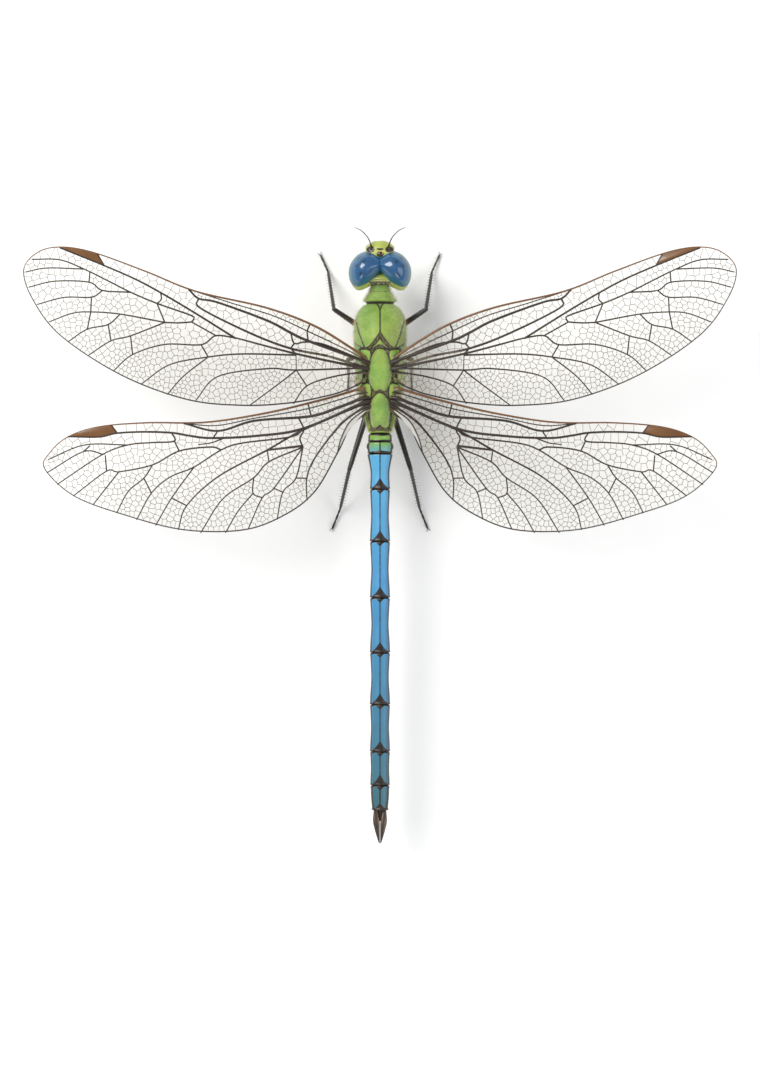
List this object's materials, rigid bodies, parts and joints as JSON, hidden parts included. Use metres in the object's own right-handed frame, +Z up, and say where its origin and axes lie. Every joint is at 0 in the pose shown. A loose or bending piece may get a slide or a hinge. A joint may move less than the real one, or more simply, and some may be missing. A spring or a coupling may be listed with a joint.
{
  "type": "dragonfly",
  "caption": "Life-size hawker dragonfly standing with its net-veined wings spread flat, large joined eyes, bent legs and a long slender patterned abdomen; a still display model.",
  "frame": {"origin": "on the floor, in the body's mid-plane, midway between the tips of the feelers and the tip of the tail", "axes": "+X to the animal's right, along the span of the wings; +Y forwards, towards the head; +Z up"},
  "size_m": [0.1136, 0.0992, 0.0186],
  "materials": {
    "abdomen": "satin blue cuticle with black markings",
    "limb": "satin black-brown cuticle",
    "thorax": "green cuticle under fine pale hairs",
    "face": "satin yellow-green cuticle",
    "eye": "glossy, finely faceted blue-green",
    "wing": "clear, slightly amber membrane with dark veins"
  },
  "bodies": {
    "root": {"abdomen_01": "abdomen", "abdomen_02": "abdomen", "abdomen_03": "abdomen", "abdomen_04": "abdomen", "abdomen_05": "abdomen", "abdomen_06": "abdomen", "abdomen_07": "abdomen", "abdomen_08": "abdomen", "abdomen_09": "abdomen", "abdomen_10": "abdomen", "antenna_left": "limb", "antenna_right": "limb", "cercus_left": "limb", "cercus_right": "limb", "epiproct": "limb", "coxa_front_left": "limb", "femur_front_left": "limb", "tibia_front_left": "limb", "tarsus_front_left": "limb", "coxa_front_right": "limb", "femur_front_right": "limb", "tibia_front_right": "limb", "tarsus_front_right": "limb", "coxa_middle_left": "limb", "femur_middle_left": "limb", "tibia_middle_left": "limb", "tarsus_middle_left": "limb", "coxa_middle_right": "limb", "femur_middle_right": "limb", "tibia_middle_right": "limb", "tarsus_middle_right": "limb", "coxa_hind_left": "limb", "femur_hind_left": "limb", "tibia_hind_left": "limb", "tarsus_hind_left": "limb", "coxa_hind_right": "limb", "femur_hind_right": "limb", "tibia_hind_right": "limb", "tarsus_hind_right": "limb", "prothorax": "thorax", "thorax": "thorax", "head": "face", "frons": "face", "clypeus": "face", "labrum": "face", "labium": "face", "eye_left": "eye", "eye_right": "eye", "forewing_left": "wing", "forewing_right": "wing", "hindwing_left": "wing", "hindwing_right": "wing"}
  },
  "joints": []
}
